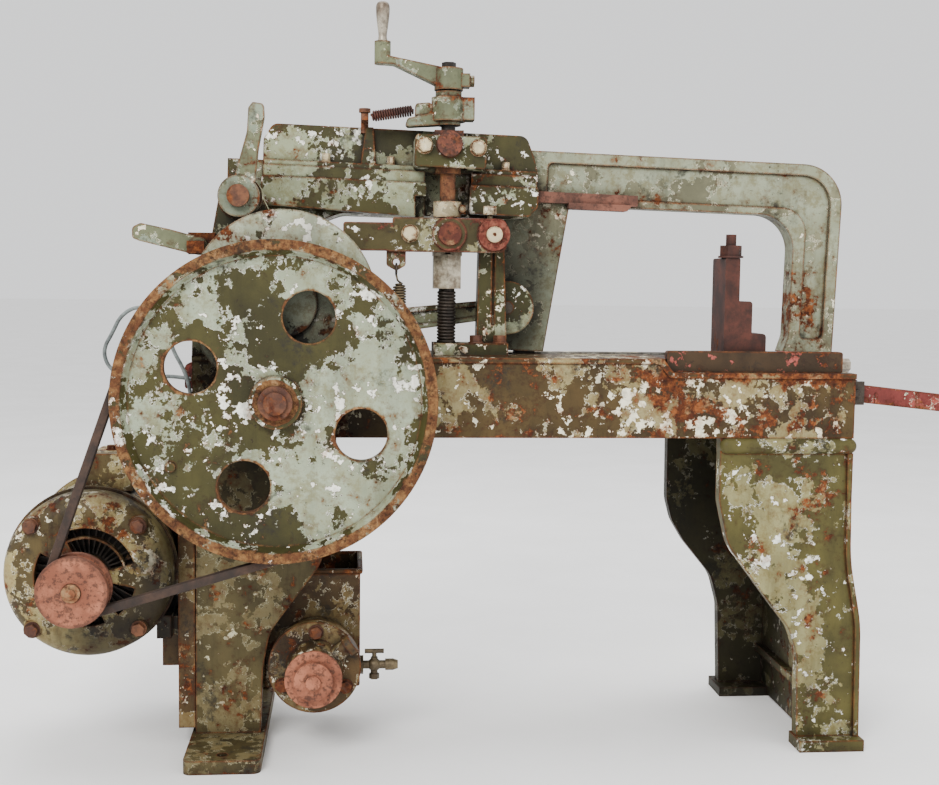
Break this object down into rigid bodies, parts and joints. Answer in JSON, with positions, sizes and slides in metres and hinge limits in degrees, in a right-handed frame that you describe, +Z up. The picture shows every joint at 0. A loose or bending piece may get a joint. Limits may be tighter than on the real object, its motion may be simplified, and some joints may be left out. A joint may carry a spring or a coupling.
{
  "type": "power hacksaw",
  "caption": "Floor-standing power hacksaw: a belt flywheel and crank drive a C-shaped saw bow along a lifting overarm above a bed with a vise.",
  "frame": {"origin": "on the floor, under the middle of the machine's outer box", "axes": "+X from the drive end to the vise end, +Y from the operator's side to the back, +Z up"},
  "size_m": [1.4539, 0.482, 1.149],
  "materials": {
    "frame_paint": "layered olive and pale grey-green paint, chipped, rust at the edges",
    "arm_paint": "olive paint over pale blue-grey, chipped",
    "bow_paint": "pale grey-green paint with rusty edges",
    "flywheel_paint": "olive and blue-grey paint with cream chips and a rusty rim",
    "vise_paint": "dark olive paint with pink primer patches",
    "motor_paint": "dirty cream and grey-green paint",
    "rusty_iron": "brown rust",
    "cream_bolts": "cream paint, chipped to rust",
    "dark_steel": "oily dark steel",
    "worn_steel": "worn bare steel with brown stains",
    "bright_steel": "ground steel, light rust",
    "bronze": "oiled bronze",
    "worn_brass": "dull brass under grime",
    "belt_rubber": "dusty cracked rubber",
    "lead_sheath": "grey sheathed lead, dirty",
    "red_oxide": "pinkish red primer, worn"
  },
  "bodies": {
    "root": {"bed": "frame_paint", "left_leg": "frame_paint", "right_legs": "frame_paint", "pedestals": "frame_paint", "pivot_pin": "rusty_iron", "shaft_bearings": "bronze", "gear_guard": "frame_paint", "drive_belt": "belt_rubber", "motor_body": "motor_paint", "motor_front_bell": "motor_paint", "motor_back_bell": "motor_paint", "frame_bolts": "rusty_iron", "terminal_cover": "motor_paint", "motor_bracket": "frame_paint", "switch_box": "red_oxide", "motor_lead": "lead_sheath", "screw_post": "frame_paint", "lever_pins": "rusty_iron", "vise_base": "vise_paint", "clamp_lever_bracket": "dark_steel", "coolant_tank": "frame_paint", "pump_body": "motor_paint", "drain_cock": "worn_brass"},
    "flywheel": {"flywheel": "flywheel_paint", "flywheel_shaft": "rusty_iron", "pinion": "dark_steel"},
    "crank": {"crank_gear": "dark_steel", "crank_shaft": "dark_steel"},
    "motor_rotor": {"motor_pulley": "rusty_iron", "motor_rotor": "dark_steel"},
    "overarm": {"overarm": "arm_paint", "overarm_bolts": "cream_bolts", "guide_bar": "rusty_iron", "upper_bracket": "arm_paint", "spring_anchor": "rusty_iron", "feed_spring": "dark_steel"},
    "bow": {"saw_bow": "bow_paint", "rod_pin": "dark_steel", "blade_clamps": "dark_steel", "saw_blade": "bright_steel"},
    "rod": {"connecting_rod": "arm_paint", "crank_pin": "dark_steel"},
    "trunnion": {"upper_trunnion": "rusty_iron"},
    "feed_screw": {"lift_screw": "dark_steel", "stop_collar": "cream_bolts", "feed_crank": "bow_paint", "feed_grip": "worn_steel"},
    "feed_arm": {"feed_arm": "bow_paint"},
    "relief_lever": {"relief_lever": "arm_paint", "lever_fittings": "cream_bolts", "relief_spring": "dark_steel"},
    "lift_nut": {"lift_nut": "worn_steel"},
    "hand_lever": {"hand_lever": "bow_paint"},
    "pivot_lever": {"pivot_lever": "bow_paint"},
    "vise_screw": {"vise_screw": "worn_steel"},
    "vise_jaw": {"vise_jaw": "rusty_iron", "jaw_stud": "dark_steel"},
    "clamp_lever": {"clamp_lever": "red_oxide"},
    "pump_rotor": {"pump_pulley": "rusty_iron"},
    "cock_handle": {"cock_handle": "worn_brass"}
  },
  "joints": [
    {"name": "flywheel_spin", "type": "hinge", "parent": "root", "child": "flywheel", "pos_m": [-0.3189, -0.203, 0.557], "axis": [0, -1, 0], "continuous": true},
    {"name": "crank_turn", "type": "hinge", "parent": "root", "child": "crank", "pos_m": [-0.3109, -0.093, 0.69477], "axis": [0, -1, 0], "continuous": true},
    {"name": "motor_spin", "type": "hinge", "parent": "root", "child": "motor_rotor", "pos_m": [-0.5999, -0.203, 0.291], "axis": [0, -1, 0], "continuous": true},
    {"name": "overarm_lift", "type": "hinge", "parent": "root", "child": "overarm", "pos_m": [-0.3769, 0.057, 0.848], "axis": [0, -1, 0], "range_deg": [0, 20]},
    {"name": "bow_slide", "type": "slide", "parent": "overarm", "child": "bow", "axis": [0.9996, 0, -0.0279], "range_m": [-0.027, 0.093]},
    {"name": "rod_swing", "type": "hinge", "parent": "bow", "child": "rod", "pos_m": [0.0301, 0.012, 0.689], "axis": [0, -1, 0], "range_deg": [-19, 0.5]},
    {"name": "screw_tilt", "type": "hinge", "parent": "overarm", "child": "trunnion", "pos_m": [-0.0679, -0.033, 0.935], "axis": [0, -1, 0], "range_deg": [-8.6, 0]},
    {"name": "feed_screw_spin", "type": "hinge", "parent": "trunnion", "child": "feed_screw", "pos_m": [-0.0679, -0.033, 0.935], "axis": [0, 0, 1], "continuous": true},
    {"name": "feed_arm_swing", "type": "hinge", "parent": "trunnion", "child": "feed_arm", "pos_m": [-0.0679, -0.033, 0.99], "axis": [0, 0, 1], "range_deg": [-10, 10], "deforming": ["feed_spring"]},
    {"name": "relief_rock", "type": "hinge", "parent": "root", "child": "relief_lever", "pos_m": [-0.0009, -0.033, 0.8], "axis": [0, -1, 0], "range_deg": [-1.5, 1.2], "deforming": ["relief_spring"]},
    {"name": "nut_tilt", "type": "hinge", "parent": "relief_lever", "child": "lift_nut", "pos_m": [-0.0679, -0.033, 0.8], "axis": [0, -1, 0], "range_deg": [0, 11.6]},
    {"name": "hand_lever_swing", "type": "hinge", "parent": "root", "child": "hand_lever", "pos_m": [-0.4369, -0.105, 0.776], "axis": [0, -1, 0], "range_deg": [-12, 35]},
    {"name": "pivot_lever_swing", "type": "hinge", "parent": "root", "child": "pivot_lever", "pos_m": [-0.3769, -0.124, 0.848], "axis": [0, -1, 0], "range_deg": [-10, 55]},
    {"name": "vise_screw_turn", "type": "hinge", "parent": "root", "child": "vise_screw", "pos_m": [0.4211, -0.023, 0.603], "axis": [1, 0, 0], "range_deg": [-7210, 9910]},
    {"name": "jaw_slide", "type": "slide", "parent": "root", "child": "vise_jaw", "axis": [1, 0, 0], "range_m": [-0.08, 0.11]},
    {"name": "clamp_lever_swing", "type": "hinge", "parent": "root", "child": "clamp_lever", "pos_m": [0.5806, -0.045, 0.561], "axis": [0, -1, 0], "range_deg": [0, 60]},
    {"name": "pump_spin", "type": "hinge", "parent": "root", "child": "pump_rotor", "pos_m": [-0.2679, -0.093, 0.135], "axis": [0, -1, 0], "continuous": true},
    {"name": "cock_turn", "type": "hinge", "parent": "root", "child": "cock_handle", "pos_m": [-0.1759, -0.043, 0.14], "axis": [0, 0, 1], "range_deg": [0, 90]}
  ],
  "couplings": [
    {"joint": "crank_turn", "follows": "flywheel_spin", "ratio": -0.24324},
    {"joint": "motor_spin", "follows": "flywheel_spin", "ratio": 5.425},
    {"joint": "screw_tilt", "follows": "overarm_lift", "ratio": -0.43},
    {"joint": "nut_tilt", "follows": "overarm_lift", "ratio": 0.57},
    {"joint": "vise_screw_turn", "follows": "jaw_slide", "rad_per_m": 1570.8}
  ]
}
